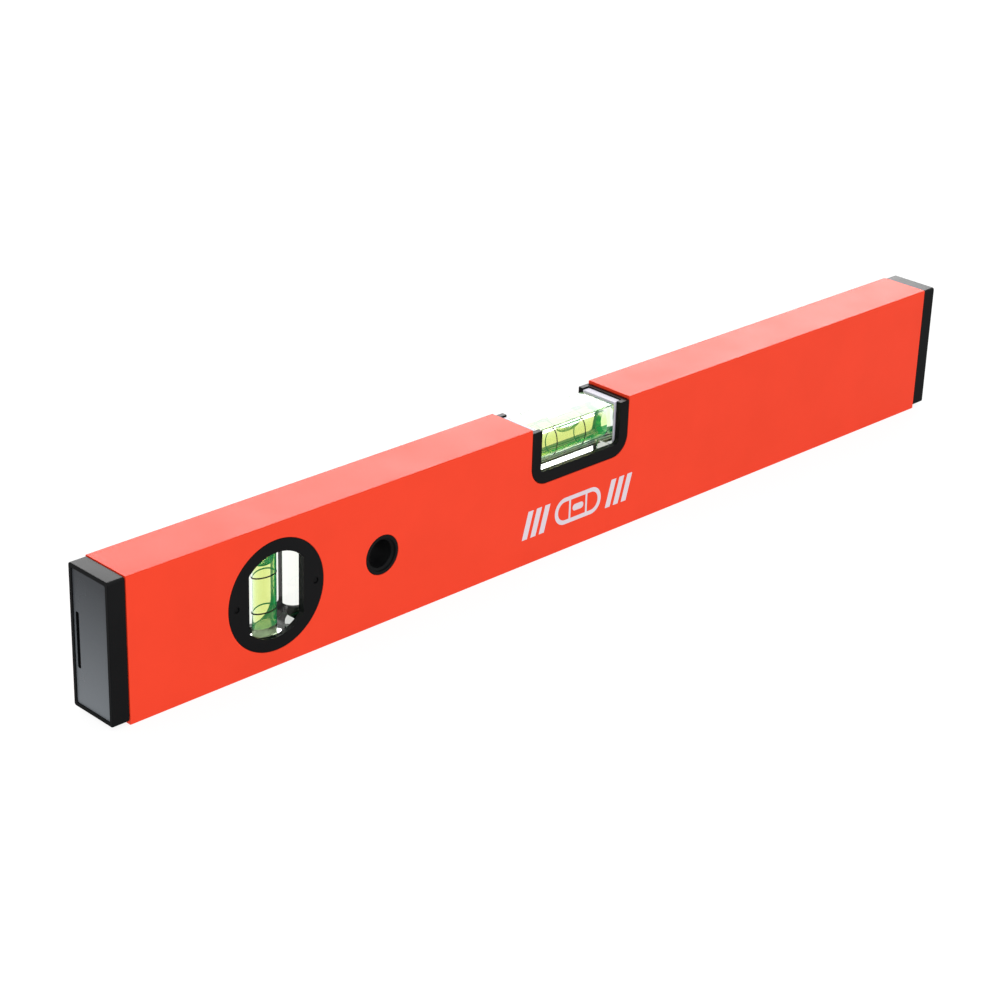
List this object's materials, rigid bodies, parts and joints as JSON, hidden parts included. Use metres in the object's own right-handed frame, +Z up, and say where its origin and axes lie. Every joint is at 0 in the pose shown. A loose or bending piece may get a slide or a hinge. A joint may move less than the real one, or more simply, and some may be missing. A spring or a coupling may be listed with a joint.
{
  "type": "spirit level",
  "caption": "Box-section spirit level with a centre vial set in its top edge, a round plumb vial near one end, a hang hole and end caps.",
  "frame": {"origin": "middle of the underside, which is the measuring edge the level stands on", "axes": "+X along the level towards the end without the plumb vial, +Y from the printed face to the other face, +Z up"},
  "size_m": [0.4, 0.02, 0.05],
  "materials": {
    "red_powder_coat": "satin powder coat on aluminium",
    "black_plastic": "fine-grained moulded plastic",
    "white_plastic": "plain moulded white plastic",
    "clear_acrylic": "polished clear acrylic",
    "vial_liquid": "clear yellow-green liquid",
    "air_bubble": "clear",
    "reading_line": "matt dark line"
  },
  "bodies": {
    "level": {"body_profile": "red_powder_coat", "end_cap_left": "black_plastic", "end_cap_right": "black_plastic", "centre_cradle": "black_plastic", "centre_backing_tray": "white_plastic", "centre_vial_block": "clear_acrylic", "centre_vial_plug": "clear_acrylic", "centre_fluid": "vial_liquid", "centre_ring_left": "reading_line", "centre_ring_right": "reading_line", "plumb_bezel_front": "black_plastic", "plumb_bezel_rear": "black_plastic", "plumb_pin_left": "black_plastic", "plumb_pin_right": "black_plastic", "plumb_vial_block": "clear_acrylic", "plumb_vial_plug": "clear_acrylic", "plumb_fluid": "vial_liquid", "plumb_ring_upper": "reading_line", "plumb_ring_lower": "reading_line", "hang_bush_front": "black_plastic", "hang_bush_rear": "black_plastic"},
    "centre_bubble": {"centre_bubble": "air_bubble"},
    "plumb_bubble": {"plumb_bubble": "air_bubble"}
  },
  "joints": [
    {"name": "centre_bubble_slide", "type": "slide", "parent": "level", "child": "centre_bubble", "axis": [1, 0, 0], "range_m": [-0.01, 0.01], "stiffness_N_per_m": 2},
    {"name": "plumb_bubble_slide", "type": "slide", "parent": "level", "child": "plumb_bubble", "axis": [0, 0, 1], "range_m": [-0.0204, 0], "stiffness_N_per_m": 3, "springref_m": 0.003}
  ]
}
